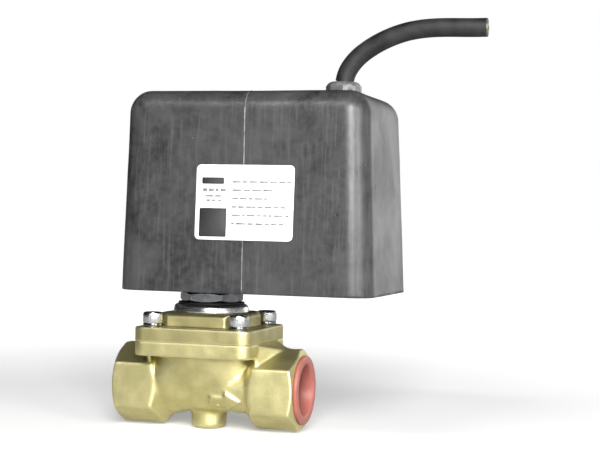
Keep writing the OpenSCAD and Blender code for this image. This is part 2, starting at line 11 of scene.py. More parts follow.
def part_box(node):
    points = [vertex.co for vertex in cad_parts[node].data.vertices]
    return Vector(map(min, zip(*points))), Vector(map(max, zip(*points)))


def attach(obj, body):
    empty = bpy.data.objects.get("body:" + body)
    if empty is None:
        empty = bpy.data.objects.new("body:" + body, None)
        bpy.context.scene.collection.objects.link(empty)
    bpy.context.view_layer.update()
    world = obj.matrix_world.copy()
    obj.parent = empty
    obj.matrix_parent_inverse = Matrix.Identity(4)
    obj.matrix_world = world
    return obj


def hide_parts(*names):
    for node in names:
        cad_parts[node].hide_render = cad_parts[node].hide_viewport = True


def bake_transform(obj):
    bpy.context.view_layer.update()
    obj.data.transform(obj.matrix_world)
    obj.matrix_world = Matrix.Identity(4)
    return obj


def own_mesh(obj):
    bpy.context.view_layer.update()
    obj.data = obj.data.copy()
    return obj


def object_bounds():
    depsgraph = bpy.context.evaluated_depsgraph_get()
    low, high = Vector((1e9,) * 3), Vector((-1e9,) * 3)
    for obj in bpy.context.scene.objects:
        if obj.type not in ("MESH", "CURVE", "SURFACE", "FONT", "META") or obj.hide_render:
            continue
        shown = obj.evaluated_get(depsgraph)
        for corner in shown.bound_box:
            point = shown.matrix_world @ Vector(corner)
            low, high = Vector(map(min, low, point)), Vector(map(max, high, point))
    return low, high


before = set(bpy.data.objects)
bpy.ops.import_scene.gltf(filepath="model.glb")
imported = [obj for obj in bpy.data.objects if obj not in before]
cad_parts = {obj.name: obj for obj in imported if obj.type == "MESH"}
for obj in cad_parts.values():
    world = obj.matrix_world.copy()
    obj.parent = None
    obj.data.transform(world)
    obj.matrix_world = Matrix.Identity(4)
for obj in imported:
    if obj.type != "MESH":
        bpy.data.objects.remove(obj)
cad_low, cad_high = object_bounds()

MM = 0.001
SCENE = bpy.context.scene
MATERIALS = {}
# Lays a shape made round Z along the pipe
Z_TO_PIPE = Matrix.Rotation(math.pi / 2, 4, "Y")

# ---- camera ---------------------------------------------------------------------------------

VIEW_AZIMUTH = 16.767
VIEW_ELEVATION = 1.173
VIEW_ROLL = 1.281
VIEW_DISTANCE = 506.5 * MM
VIEW_AIM = Vector((29.55, 8.99, 48.93)) * MM
VIEW_LENS = 85.24
VIEW_SHIFT = (0.001, 0.0413)


def make_camera():
    """The photographer's place: a little to the right of the front and almost level."""
    data = bpy.data.cameras.new("camera")
    data.lens = VIEW_LENS
    data.sensor_width = 36
    data.shift_x, data.shift_y = VIEW_SHIFT
    data.clip_start = 10 * MM
    camera = bpy.data.objects.new("camera", data)
    SCENE.collection.objects.link(camera)
    turn = Matrix.Rotation(math.radians(VIEW_AZIMUTH), 4, "Z")
    tilt = Matrix.Rotation(math.radians(90 - VIEW_ELEVATION), 4, "X")
    roll = Matrix.Rotation(math.radians(VIEW_ROLL), 4, "Z")
    rotation = turn @ tilt @ roll
    back = rotation @ Vector((0, 0, VIEW_DISTANCE))
    camera.matrix_world = Matrix.Translation(VIEW_AIM + back) @ rotation
    SCENE.camera = camera


# ---- mesh tools -----------------------------------------------------------------------------


def new_object(name, mesh, smooth_angle=35):
    """Puts a mesh in the scene, smooth apart from the edges that bend more than the angle."""
    mesh.shade_smooth()
    mesh.set_sharp_from_angle(angle=math.radians(smooth_angle))
    made = bpy.data.objects.new(name, mesh)
    SCENE.collection.objects.link(made)
    return made


@contextlib.contextmanager
def edited(mesh):
    """The mesh opened for bmesh's tools and written back afterwards."""
    shape = bmesh.new()
    shape.from_mesh(mesh)
    yield shape
    shape.to_mesh(mesh)
    shape.free()


def mesh_from(name, points, faces):
    """A mesh from points and faces, with doubled points merged and its faces turned outwards."""
    mesh = bpy.data.meshes.new(name)
    mesh.from_pydata([tuple(p) for p in points], [], faces)
    with edited(mesh) as shape:
        bmesh.ops.remove_doubles(shape, verts=shape.verts, dist=0.5e-6)
        bmesh.ops.recalc_face_normals(shape, faces=shape.faces)
    return mesh


def solid(name, shape, smooth_angle, at=None):
    """An object from a (points, faces) shape, moved by the transform if there is one."""
    points, faces = shape
    if at is not None:
        points = moved(points, at)
    return new_object(name, mesh_from(name, points, faces), smooth_angle)


def mesh_points(mesh):
    """The mesh's points as rows of an array."""
    points = np.zeros(len(mesh.vertices) * 3)
    mesh.vertices.foreach_get("co", points)
    return points.reshape(-1, 3)


def evaluated_mesh(obj):
    """A new mesh with the object's modifiers applied."""
    bpy.context.view_layer.update()
    graph = bpy.context.evaluated_depsgraph_get()
    return bpy.data.meshes.new_from_object(obj.evaluated_get(graph))


def place(obj, material, body, nodes=()):
    """Gives a finished piece its material, the CAD nodes that it stands for and its body."""
    obj.data.materials.clear()
    obj.data.materials.append(MATERIALS[material])
    if nodes:
        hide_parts(*nodes)
    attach(obj, body)
    return obj


def softened(outline, cut, steps=3, closed=False):
    """The outline with each corner replaced by a short curve that starts and ends within cut of it."""
    points = [Vector(p) for p in outline]
    result = []
    count = len(points)
    for i, corner in enumerate(points):
        if not closed and i in (0, count - 1):
            result.append(corner)
            continue
        before = points[i - 1] - corner
        after = points[(i + 1) % count] - corner
        start = corner + before * min(cut / before.length, 0.45)
        end = corner + after * min(cut / after.length, 0.45)
        for k in range(steps + 1):
            t = k / steps
            result.append(start * (1 - t) ** 2 + corner * 2 * t * (1 - t) + end * t * t)
    return [tuple(p) for p in result]


def turned(profile, steps=96, closed=False):
    """Points and faces of a lathe shape: rings of (radius, height), either of them a number or a
    function of the angle. A closed profile makes a ring with a hole, an open one is capped."""
    angles = np.linspace(0, 2 * math.pi, steps, endpoint=False)
    points = []
    for radius, height in profile:
        r = radius(angles) if callable(radius) else np.full(steps, radius)
        z = height(angles) if callable(height) else np.full(steps, height)
        points.extend(np.stack([r * np.cos(angles), r * np.sin(angles), z], 1))
    faces = []
    spans = len(profile) if closed else len(profile) - 1
    for i in range(spans):
        low = i * steps
        high = ((i + 1) % len(profile)) * steps
        for j in range(steps):
            k = (j + 1) % steps
            faces.append((low + j, low + k, high + k, high + j))
    if not closed:
        faces.append(tuple(reversed(range(steps))))
        faces.append(tuple(range(len(points) - steps, len(points))))
    return points, faces


def tube_faces(rings, size):
    """Faces of a tube with closed ends, whose points come in rings of that size."""
    last = size * (rings - 1)
    faces = [tuple(reversed(range(size))), tuple(range(last, last + size))]
    for a in range(0, last, size):
        b = a + size
        faces.extend((a + k, a + (k + 1) % size, b + (k + 1) % size, b + k) for k in range(size))
    return faces


def moved(points, matrix):
    """The points after a transform."""
    return [matrix @ Vector(p) for p in points]


def gathered(parts):
    """Several (points, faces) shapes as one."""
    points = []
    faces = []
    for part_points, part_faces in parts:
        base = len(points)
        points.extend(part_points)
        faces.extend(tuple(base + i for i in face) for face in part_faces)
    return points, faces


def polygon_radius(across_flats, sides, turn=0.0):
    """Radius of a regular polygon as a function of the angle; turn is where a corner lies, in degrees."""
    sector = 2 * math.pi / sides

    def radius(angles):
        from_flat = np.mod(angles - math.radians(turn), sector) - sector / 2
        return across_flats / 2 / np.cos(from_flat)

    return radius


def at_most(radius, limit):
    """A radius function cut down to a limit."""
    return lambda angles: np.minimum(radius(angles), limit)


# ---- cast pieces ----------------------------------------------------------------------------


def cad_copy(name, node):
    """A separate object with a merged copy of a CAD node's mesh."""
    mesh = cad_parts[node].data.copy()
    mesh.name = name
    with edited(mesh) as shape:
        bmesh.ops.remove_doubles(shape, verts=shape.verts, dist=1e-6)
    return new_object(name, mesh)


def cut_away(obj, points, faces):
    """Subtracts a closed shape from the object."""
    cutter = new_object("cutter", mesh_from("cutter", points, faces))
    boolean = obj.modifiers.new("cut", "BOOLEAN")
    boolean.operation = "DIFFERENCE"
    boolean.solver = "EXACT"
    boolean.object = cutter
    obj.data = evaluated_mesh(obj)
    obj.modifiers.clear()
    bpy.data.objects.remove(cutter)


def remeshed(obj, voxel):
    """Rebuilds the object's surface as small even quads."""
    remesh = obj.modifiers.new("remesh", "REMESH")
    remesh.mode = "VOXEL"
    remesh.voxel_size = voxel
    obj.data = evaluated_mesh(obj)
    obj.modifiers.clear()
    keep_largest(obj.data)


def keep_largest(mesh):
    """Deletes every island of the mesh but the largest."""
    with edited(mesh) as shape:
        left = set(shape.verts)
        largest = set()
        while left:
            island = set()
            front = {left.pop()}
            while front:
                island |= front
                front = {edge.other_vert(v) for v in front for edge in v.link_edges} & left
                left -= front
            largest = max(largest, island, key=len)
        strays = [v for v in shape.verts if v not in largest]
        bmesh.ops.delete(shape, geom=strays, context="VERTS")


def relax(mesh, passes, weight):
    """Smooths the mesh; weight takes the points and gives each one's share, so that machined faces
    can stay crisper than cast ones."""
    points = mesh_points(mesh)
    count = len(points)
    edges = np.zeros(len(mesh.edges) * 2, int)
    mesh.edges.foreach_get("vertices", edges)
    ends = np.concatenate([edges.reshape(-1, 2), edges.reshape(-1, 2)[:, ::-1]])
    neighbours = np.maximum(np.bincount(ends[:, 0], minlength=count), 1)[:, None]
    share = weight(points)[:, None]
    for _ in range(passes):
        around = np.stack(
            [np.bincount(ends[:, 0], points[ends[:, 1], axis], count) for axis in range(3)], 1
        )
        points += 0.5 * share * (around / neighbours - points)
    mesh.vertices.foreach_set("co", points.ravel())
    mesh.update()


def casting_waves(mesh, height, size, weight):
    """Pushes the points in and out a little, as on a sand-cast skin."""
    points = mesh_points(mesh)
    normals = np.zeros(points.size)
    mesh.vertex_normals.foreach_get("vector", normals)
    waves = np.array([noise.noise(Vector(p) / size) for p in points])
    points += normals.reshape(-1, 3) * (waves * height * weight(points))[:, None]
    mesh.vertices.foreach_set("co", points.ravel())
    mesh.update()


BODY_VOXEL = 0.36 * MM
PORT_ROOT_R = 10.45 * MM
PORT_CREST_R = 9.3 * MM
PORT_MOUTH_R = 10.6 * MM
THREAD_LEN = 14 * MM
THREAD_PITCH = 1.814 * MM


def ramp(values, start, end):
    """0 before start, 1 after end and a straight line between them."""
    return np.clip((values - start) / (end - start), 0, 1)


def make_body():
    """The cast brass body, with its edges rounded as a casting's and the inlet bored for its thread."""
    low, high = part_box("valve_body")
    body = cad_copy("body_casting", "valve_body")
    bore = turned([(PORT_ROOT_R, -1 * MM), (PORT_ROOT_R, THREAD_LEN)])
    to_inlet = Matrix.Translation((low.x, 0, 0)) @ Z_TO_PIPE
    cut_away(body, moved(bore[0], to_inlet), bore[1])
    remeshed(body, BODY_VOXEL)

    def cast_share(points):
        from_faces = np.minimum(points[:, 0] - low.x, high.x - points[:, 0])
        from_parting = high.z - points[:, 2]
        cast = np.minimum(ramp(from_faces, 2.0 * MM, 3.5 * MM), ramp(from_parting, 0.4 * MM, 1.4 * MM))
        return 0.12 + 0.88 * cast

    relax(body.data, passes=14, weight=cast_share)
    casting_waves(body.data, height=0.1 * MM, size=5 * MM, weight=cast_share)
    body.data.shade_smooth()
    place(body, "cast_brass", "valve", ["valve_body"])


def make_inlet_thread():
    """The internal pipe thread, a helical ridge that fades into the bore at both ends."""
    low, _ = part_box("valve_body")
    turns = 7
    per_turn = 96
    root_half = 0.46 * THREAD_PITCH
    crest_half = 0.09 * THREAD_PITCH
    points = []
    count = turns * per_turn
    for i in range(count + 1):
        angle = 2 * math.pi * i / per_turn
        along = 0.6 * MM + THREAD_PITCH * i / per_turn
        fade = min(1, i / 20, (count - i) / 40)
        limit = PORT_MOUTH_R - along
        crest = max(PORT_ROOT_R - (PORT_ROOT_R - PORT_CREST_R) * fade, min(limit, PORT_ROOT_R))
        outside = PORT_ROOT_R + 0.1 * MM
        for offset, radius in (
            (-root_half, outside), (-crest_half, crest), (crest_half, crest), (root_half, outside)
        ):
            points.append((low.x + along + offset, radius * math.cos(angle), radius * math.sin(angle)))
    thread = solid("inlet_thread", (points, tube_faces(count + 1, 4)), 40)
    place(thread, "cut_brass", "valve")


BONNET_VOXEL = 0.3 * MM


def make_bonnet():
    """The cast bonnet with its square boss."""
    low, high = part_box("bonnet")
    bonnet = cad_copy("bonnet_casting", "bonnet")
    remeshed(bonnet, BONNET_VOXEL)

    def cast_share(points):
        from_parting = points[:, 2] - low.z
        from_axis = np.hypot(points[:, 0], points[:, 1])
        machined_top = (high.z - points[:, 2] < 0.5 * MM) & (from_axis < 13 * MM)
        cast = ramp(from_parting, 0.4 * MM, 1.2 * MM) * np.where(machined_top, 0.2, 1.0)
        return 0.12 + 0.88 * cast

    relax(bonnet.data, passes=9, weight=cast_share)
    casting_waves(bonnet.data, height=0.08 * MM, size=5 * MM, weight=cast_share)
    bonnet.data.shade_smooth()
    place(bonnet, "shaded_bonnet_brass", "valve", ["bonnet"])


# ---- parts that flex ------------------------------------------------------------------------

SHEET_VOXEL = 0.25 * MM


def make_diaphragm():
    """The rubber diaphragm, remeshed from the CAD sheet and lightly smoothed."""
    sheet = cad_copy("rubber_diaphragm", "diaphragm")
    remeshed(sheet, SHEET_VOXEL)
    relax(sheet.data, passes=3, weight=lambda points: np.ones(len(points)))
    sheet.data.shade_smooth()
    sheet.data.materials.clear()
    sheet.data.materials.append(MATERIALS["rubber"])
    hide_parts("diaphragm")
    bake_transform(sheet)
    points = mesh_points(sheet.data)


def make_return_spring():
    """The armature's return spring, a copy of the CAD coil attached to the armature."""
    coil = cad_copy("armature_spring", "return_spring")
    coil.data.shade_smooth()
    place(coil, "stainless", "armature", ["return_spring"])
    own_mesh(coil)


# ---- screws and neck ------------------------------------------------------------------------

SCREW_HEAD_R = 3.5 * MM
SCREW_HEAD_H = 4 * MM
SCREW_R = 2 * MM
SCREW_ROOT_R = 1.62 * MM
SOCKET_AF = 3 * MM
KNURL_RIDGES = 40
KNURL_DEPTH = 0.09 * MM
NECK_BORE = 7.02 * MM


def screw_places():
    """The four screw axes, from the box of the CAD screws."""
    _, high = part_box("cap_screws")
    half = high.x - SCREW_HEAD_R
    return [(x, y) for x in (-half, half) for y in (-half, half)]


def cap_screw_shape(turn):
    """A socket head cap screw with a knurled head, from its own thread tip up."""
    low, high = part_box("cap_screws")
    head_z = high.z - SCREW_HEAD_H
    socket = polygon_radius(SOCKET_AF, 6, turn)

    def knurled(angles):
        return SCREW_HEAD_R - KNURL_DEPTH * np.abs(np.sin(KNURL_RIDGES * (angles + turn) / 2)) ** 0.8

    shank = [
        (SCREW_ROOT_R - 0.5 * MM, low.z), (SCREW_ROOT_R, low.z + 0.5 * MM),
        (SCREW_ROOT_R, low.z + 3.4 * MM), (SCREW_R, low.z + 3.9 * MM), (SCREW_R, head_z)
    ]
    head = [
        (3.1 * MM, head_z), (3.32 * MM, head_z + 0.12 * MM), (knurled, head_z + 0.5 * MM),
        (knurled, high.z - 0.75 * MM), (3.38 * MM, high.z - 0.5 * MM), (3.28 * MM, high.z - 0.22 * MM),
        (3.0 * MM, high.z - 0.05 * MM), (2.7 * MM, high.z)
    ]
    recess = [
        (2.05 * MM, high.z), (1.9 * MM, high.z - 0.12 * MM), (socket, high.z - 0.35 * MM),
        (socket, high.z - 2.2 * MM), (0.9 * MM, high.z - 2.6 * MM)
    ]
    return turned(shank + head + recess, 240)


def make_screws():
    """The four bonnet screws, each tightened to a different angle."""
    shapes = []
    for i, (x, y) in enumerate(screw_places()):
        points, faces = cap_screw_shape(17 * i)
        shapes.append((moved(points, Matrix.Translation((x, y, 0))), faces))
    screws = solid("socket_screws", gathered(shapes), 32)
    place(screws, "zinc", "valve", ["cap_screws"])


def make_spring_washers():
    """Split spring washers, flat, each with its gap turned to a different angle."""
    low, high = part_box("spring_washers")
    inner, outer = 2.06 * MM, 3.4 * MM
    gap = math.radians(9)
    steps = 72
    shapes = []
    section = softened(
        [(inner, low.z), (outer, low.z), (outer, high.z), (inner, high.z)], 0.15 * MM, 2, closed=True
    )
    for number, (x, y) in enumerate(screw_places()):
        points = []
        first = 0.9 + 1.3 * number
        for i in range(steps + 1):
            angle = first + gap / 2 + (2 * math.pi - gap) * i / steps
            for radius, z in section:
                points.append((x + radius * math.cos(angle), y + radius * math.sin(angle), z))
        shapes.append((points, tube_faces(steps + 1, len(section))))
    washers = solid("split_washers", gathered(shapes), 32)
    place(washers, "zinc_dull", "valve", ["spring_washers"])


def make_collar():
    """The bright turned collar that holds the guide tube down."""
    low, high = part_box("collar_ring")
    spigot = 10.4 * MM
    foot_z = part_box("bonnet")[1].z
    profile = [
        (NECK_BORE, low.z), (spigot, low.z), (spigot, foot_z), (13.3 * MM, foot_z),
        (13.4 * MM, foot_z + 0.3 * MM), (13.1 * MM, foot_z + 2.1 * MM), (12.3 * MM, high.z),
        (NECK_BORE, high.z)
    ]
    rings = softened(profile, 0.35 * MM, 4, closed=True)
    collar = solid("turned_collar", turned(rings, 144, closed=True), 30)
    place(collar, "satin_steel", "valve", ["collar_ring"])


def make_neck_gasket():
    """The thin black ring between the collar and the lock nut."""
    low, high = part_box("neck_seal_ring")
    profile = [(NECK_BORE, low.z), (high.x, low.z), (high.x, high.z), (NECK_BORE, high.z)]
    rings = softened(profile, 0.3 * MM, 4, closed=True)
    gasket = solid("neck_gasket", turned(rings, 144, closed=True), 40)
    place(gasket, "rubber", "valve", ["neck_seal_ring"])


def make_lock_nut():
    """The hexagon nut under the magnet head, chamfered on both sides."""
    low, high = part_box("lock_nut")
    hexagon = polygon_radius(20 * MM, 6, 7)
    face_r = 9.9 * MM
    levels = [(low.z + 0.75 * MM * k / 5, face_r + 1.55 * MM * k / 5) for k in range(6)]
    upper = [(high.z - 0.5 * MM * k / 4, face_r + 1.55 * MM * k / 4) for k in range(4, -1, -1)]
    edge = 0.3 * MM
    rings = [(NECK_BORE + edge, low.z)]
    rings += [(at_most(hexagon, limit), z) for z, limit in levels]
    rings += [(at_most(hexagon, limit), z) for z, limit in upper]
    rings += [(NECK_BORE + edge, high.z), (NECK_BORE, high.z - edge), (NECK_BORE, low.z + edge)]
    nut = solid("hexagon_lock_nut", turned(rings, 288, closed=True), 25)
    place(nut, "zinc_dull", "valve", ["lock_nut"])


def make_toothed_washer():
    """The dark toothed lock washer, its teeth twisted out of its plane."""
    low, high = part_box("toothed_washer")
    root = 9.5 * MM
    tip = high.x
    teeth = 16
    tooth_share = 0.62

    def in_tooth(angles):
        """From -1 to 1 across each tooth and its gap."""
        return np.mod(angles * teeth / (2 * math.pi), 1) * 2 - 1

    def edge(angles):
        return np.where(np.abs(in_tooth(angles)) < tooth_share, tip, root)

    def level(share, side):
        middle = (low.z + high.z) / 2
        half = 0.28 * MM

        def height(angles):
            twist = (high.z - low.z) / 2 - half
            across = in_tooth(angles)
            bend = np.where(np.abs(across) < tooth_share, across / tooth_share, 0)
            return middle + side * half + share * twist * bend

        return height

    rings = [
        (NECK_BORE, level(0, -1)), (root - 0.2 * MM, level(0, -1)), (edge, level(1, -1)),
        (edge, level(1, 1)), (root - 0.2 * MM, level(0, 1)), (NECK_BORE, level(0, 1))
    ]
    washer = solid("star_washer", turned(rings, 512, closed=True), 25)
    place(washer, "phosphated", "valve", ["toothed_washer"])


# ---- plug in the outlet ---------------------------------------------------------------------


def make_port_plug():
    """The moulded protective plug: a cup with a rim that lies on the outlet face."""
    low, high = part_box("port_plug")
    rim_r = high.z
    back = high.x - 1.3 * MM
    shank = PORT_CREST_R - 0.08 * MM
    profile = [
        (0.01 * MM, low.x), (shank - 0.5 * MM, low.x), (shank, low.x + 1.2 * MM), (shank, back - 1.45 * MM),
        (PORT_CREST_R + 0.7 * MM, back), (rim_r - 0.05 * MM, back), (rim_r, back + 0.3 * MM),
        (rim_r - 0.05 * MM, high.x - 0.35 * MM), (rim_r - 0.6 * MM, high.x),
        (PORT_CREST_R + 0.1 * MM, high.x), (PORT_CREST_R - 0.55 * MM, high.x - 0.8 * MM),
        (shank - 1.1 * MM, high.x - 4.3 * MM), (shank - 1.3 * MM, low.x + 1.1 * MM),
        (2.2 * MM, low.x + 1.1 * MM), (2.0 * MM, low.x + 1.35 * MM),
        (0.01 * MM, low.x + 1.35 * MM)
    ]
    plug = solid("outlet_plug", turned(softened(profile, 0.4 * MM, 4), 144), 40, Z_TO_PIPE)
    place(plug, "plug_plastic", "plug", ["port_plug"])


# ---- magnet head ----------------------------------------------------------------------------

EDGE_R = 8 * MM
WALL = 2.5 * MM
DRAFT_SIDE = 0.045
DRAFT_LEFT = 0.014
DRAFT_RIGHT = 0.049
SEAM_X = 21.3 * MM
SEAM_LEAN = 0.0178
SEAM_HALF = 0.22 * MM
SEAM_HEIGHT = 0.10 * MM


def spaced(start, end, step, extras=()):
    """Even values from start to end, with some extra ones among them."""
    count = max(2, round((end - start) / step))
    values = [start + (end - start) * i / count for i in range(count + 1)]
    clear = [v for v in values if all(abs(v - e) > step / 3 for e in extras) or v in (start, end)]
    return sorted(clear + list(extras))


class HeadForm:
    """The drafted, round-edged block of the magnet head, from the box of the CAD housing."""

    def __init__(self):
        self.low, self.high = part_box("housing")

    def rounded(self, point, margin):
        """A point of the plain box brought onto the block's rounded surface, set in by the margin,
        and the direction in which that surface faces."""
        core = Vector((
            min(max(point.x, self.low.x + EDGE_R), self.high.x - EDGE_R),
            min(max(point.y, self.low.y + EDGE_R), self.high.y - EDGE_R),
            min(point.z, self.high.z - EDGE_R),
        ))
        out = (point - core).normalized()
        return core + out * (EDGE_R - margin), out

    def drafted(self, point):
        """The point after the sides have been leaned inwards."""
        up = min(point.z, self.high.z - EDGE_R) - self.low.z
        across = (point.x - self.low.x) / (self.high.x - self.low.x)
        lean_x = (1 - across) * DRAFT_LEFT - across * DRAFT_RIGHT
        lean_y = -2 * point.y / (self.high.y - self.low.y) * DRAFT_SIDE
        return point + Vector((lean_x * up, lean_y * up, 0))

    def skin(self, point, margin):
        """A point of the surface; the outside has a moulded skin's slight waves and a raised seam."""
        base, out = self.rounded(point, margin)
        if margin:
            return self.drafted(base)
        waves = 0.09 * noise.noise(point / (19 * MM)) + 0.035 * noise.noise(point / (6 * MM))
        from_seam = abs(point.x - SEAM_X) / SEAM_HALF
        seam = SEAM_HEIGHT * max(0.0, 1 - from_seam) * (0.75 + 0.5 * noise.noise(point / (3 * MM)))
        return self.drafted(base + out * (waves * MM + seam))


def division_lines(start, end, step, extras=(), round_start=True):
    """Where the block is divided: even steps between its rounded ends, and closer lines round these."""
    band = [EDGE_R * math.tan(math.radians(7.5 * k)) for k in range(1, 7)]
    inner = start + EDGE_R if round_start else start
    before = [inner - b for b in reversed(band)] if round_start else []
    return before + spaced(inner, end - EDGE_R, step, extras) + [end - EDGE_R + b for b in band]


def make_housing():
    """The moulded housing: a smooth block with a seam, open below round the potting."""
    form = HeadForm()
    low, high = form.low, form.high
    soft = 0.25 * MM
    seam_lines = [SEAM_X + SEAM_HALF * k for k in (-1.6, -1, -0.4, 0, 0.4, 1, 1.6)]
    xs = division_lines(low.x, high.x, 0.8 * MM, seam_lines)
    ys = division_lines(low.y, high.y, 1.0 * MM)
    # Each level is a height and an inset: down inside, across the rim and up outside
    levels = [(high.z - EDGE_R, WALL), (low.z + soft, WALL), (low.z, WALL - soft), (low.z, soft)]
    levels += [(z, 0.0) for z in division_lines(low.z + soft, high.z, 0.8 * MM, round_start=False)]
    parts = []

    def grid(us, vs, point):
        width = len(us)
        faces = [
            (j * width + i, j * width + i + 1, (j + 1) * width + i + 1, (j + 1) * width + i)
            for j in range(len(vs) - 1) for i in range(width - 1)
        ]
        parts.append(([point(u, v) for v in vs for u in us], faces))

    for y in (low.y, high.y):
        grid(xs, levels, lambda u, level: form.skin(Vector((u, y, level[0])), level[1]))
    for x in (low.x, high.x):
        grid(ys, levels, lambda u, level: form.skin(Vector((x, u, level[0])), level[1]))
    grid(xs, ys, lambda u, v: form.skin(Vector((u, v, high.z)), 0.0))
    mesh = mesh_from("housing_shell", *gathered(parts))
    with edited(mesh) as shape:
        bmesh.ops.holes_fill(shape, edges=[e for e in shape.edges if e.is_boundary], sides=0)
        bmesh.ops.recalc_face_normals(shape, faces=shape.faces)
    shell = new_object("housing_shell", mesh, 50)
    place(shell, "housing", "magnet_head", ["housing"])


# ---- label ----------------------------------------------------------------------------------


def rounded_outline(left, bottom, right, top, radius, steps=6):
    """Corner-rounded rectangle as points of the label's plane."""
    corners = ((right, bottom, -90), (right, top, 0), (left, top, 90), (left, bottom, 180))
    points = []
    for x, y, start in corners:
        centre_x = x - radius if x == right else x + radius
        centre_y = y - radius if y == top else y + radius
        for k in range(steps + 1):
            angle = math.radians(start + 90 * k / steps)
            points.append((centre_x + radius * math.cos(angle), centre_y + radius * math.sin(angle)))
    return points


def raised_patch(outline, low, high, bevel):
    """Points and faces of a flat patch with a softened upper edge; high is its top."""
    middle_x = sum(p[0] for p in outline) / len(outline)
    middle_y = sum(p[1] for p in outline) / len(outline)
    reach_x = max(p[0] for p in outline) - middle_x
    reach_y = max(p[1] for p in outline) - middle_y
    points = [(x, y, low) for x, y in outline]
    points += [(x, y, high - bevel) for x, y in outline]
    shrink_x = 1 - bevel / reach_x
    shrink_y = 1 - bevel / reach_y
    points += [
        (middle_x + (x - middle_x) * shrink_x, middle_y + (y - middle_y) * shrink_y, high) for x, y in outline
    ]
    return points, tube_faces(3, len(outline))


LABEL_T = 0.2 * MM
INK_T = 0.02 * MM


def label_matrix():
    """From the label's own plane, with its corner at the origin, to the leaning front face."""
    low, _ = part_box("label")
    lean = math.atan(DRAFT_SIDE)
    front_y = low.y + LABEL_T / math.cos(lean)
    return Matrix.Translation((low.x, front_y, low.z)) @ Matrix.Rotation(math.pi / 2 - lean, 4, "X")


def make_label():
    """The printed film, a white plate with rounded corners."""
    low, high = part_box("label")
    width = high.x - low.x
    height = (high.z - low.z) / math.cos(math.atan(DRAFT_SIDE))
    outline = rounded_outline(0, 0, width, height, 1.6 * MM, 8)
    plate = solid("name_plate", raised_patch(outline, 0, LABEL_T, 0.05 * MM), 40, label_matrix())
    place(plate, "label_film", "magnet_head", ["label"])


def make_print(name, material, boxes, radius):
    """Plain printed shapes on the label: boxes of (left, bottom, right, top) in millimetres."""
    shapes = []
    for box in boxes:
        outline = rounded_outline(*[v * MM for v in box], radius, 4)
        shapes.append(raised_patch(outline, LABEL_T - INK_T, LABEL_T + INK_T, INK_T / 2))
    ink = solid(name, gathered(shapes), 40, label_matrix())
    place(ink, material, "magnet_head")


def dashes(draw, left, right, bottom, height):
    """A line of dashes of uneven lengths, standing for plain data."""
    boxes = []
    x = left
    while x < right - 1:
        end = min(x + draw.uniform(0.9, 3.4), right)
        boxes.append((x, bottom, end, bottom + height))
        x = end + draw.uniform(0.5, 0.9)
    return boxes


def make_label_print():
    """A heading bar, a dark square, a dividing line and rows of dashes, with no lettering."""
    draw = random.Random(4)
    dark = [(2.1, 18.7, 9.9, 20.9), (1.5, 1.0, 11.1, 10.6)]
    make_print("label_ink_dark", "ink_dark", dark, 0.45 * MM)
    rows = dashes(draw, 2.5, 10.6, 16.2, 1.0)
    rows += dashes(draw, 3.4, 9.6, 14.4, 0.6)
    rows += dashes(draw, 3.8, 9.2, 12.9, 0.6)
    for row, right in enumerate((33.4, 28.0, 26.6, 32.0, 32.8, 32.8)):
        rows += dashes(draw, 12.9, right, 19.2 - 2.8 * row, 0.62)
    rows.append((11.7, 3.2, 11.9, 19.0))
    make_print("label_ink_grey", "ink_grey", rows, 0.09 * MM)


# ---- gland and cable ------------------------------------------------------------------------

CABLE_D = 6.4 * MM
# The cable's route in X and Z, in millimetres: up out of the gland, over and level to its cut end
CABLE_ROUTE = [
    (47.2, 107.5), (47.5, 109), (48, 110.6), (48.8, 112.2), (49.9, 113.8), (51.2, 115.3), (52.8, 116.8),
    (54.8, 118.3), (57.3, 119.9), (60.3, 121.5), (63.8, 123), (67.8, 124.3), (72.2, 125.2),
    (77.2, 125.7), (82.2, 125.8), (87, 125.7), (91.7, 125.6), (96.5, 125.6)
]


def make_gland_nut():
    """The eight-sided cap of the cable gland, with its corners turned round and a domed top."""
    low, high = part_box("gland_nut")
    centre = (low + high) / 2
    octagon = polygon_radius(11.7 * MM, 8, 14)
    corner = 6.2 * MM
    bore = CABLE_D / 2 + 0.2 * MM
    dome = [
        (corner - 0.35 * MM, high.z - 1.15 * MM), (corner - 0.6 * MM, high.z - 0.8 * MM),
        (corner - 1.0 * MM, high.z - 0.35 * MM), (corner - 1.6 * MM, high.z - 0.08 * MM),
        (bore + 1.0 * MM, high.z), (bore + 0.3 * MM, high.z - 0.12 * MM), (bore, high.z - 0.5 * MM),
        (bore, high.z - 1.0 * MM), (4.62 * MM, high.z - 1.0 * MM), (4.62 * MM, low.z + 0.2 * MM)
    ]
    rings = [(4.9 * MM, low.z), (at_most(octagon, corner - 0.5 * MM), low.z)]
    rings += [(at_most(octagon, corner), low.z + 0.35 * MM), (at_most(octagon, corner), high.z - 1.6 * MM)]
    rings += [(at_most(octagon, radius), z) for radius, z in dome[:2]]
    centred = Matrix.Translation((centre.x, centre.y, 0))
    nut = solid("gland_cap", turned(rings + dome[2:], 192, closed=True), 28, centred)
    place(nut, "gland", "magnet_head", ["gland_nut"])


def make_gland_washer():
    """The thin seal under the gland."""
    low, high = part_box("gland_washer")
    centre = (low + high) / 2
    inner = 4.7 * MM
    outer = high.x - centre.x
    profile = [(inner, low.z), (outer, low.z), (outer, high.z), (inner, high.z)]
    rings = softened(profile, 0.12 * MM, 3, closed=True)
    centred = Matrix.Translation((centre.x, centre.y, 0))
    washer = solid("gland_gasket", turned(rings, 96, closed=True), 40, centred)
    place(washer, "rubber", "magnet_head", ["gland_washer"])


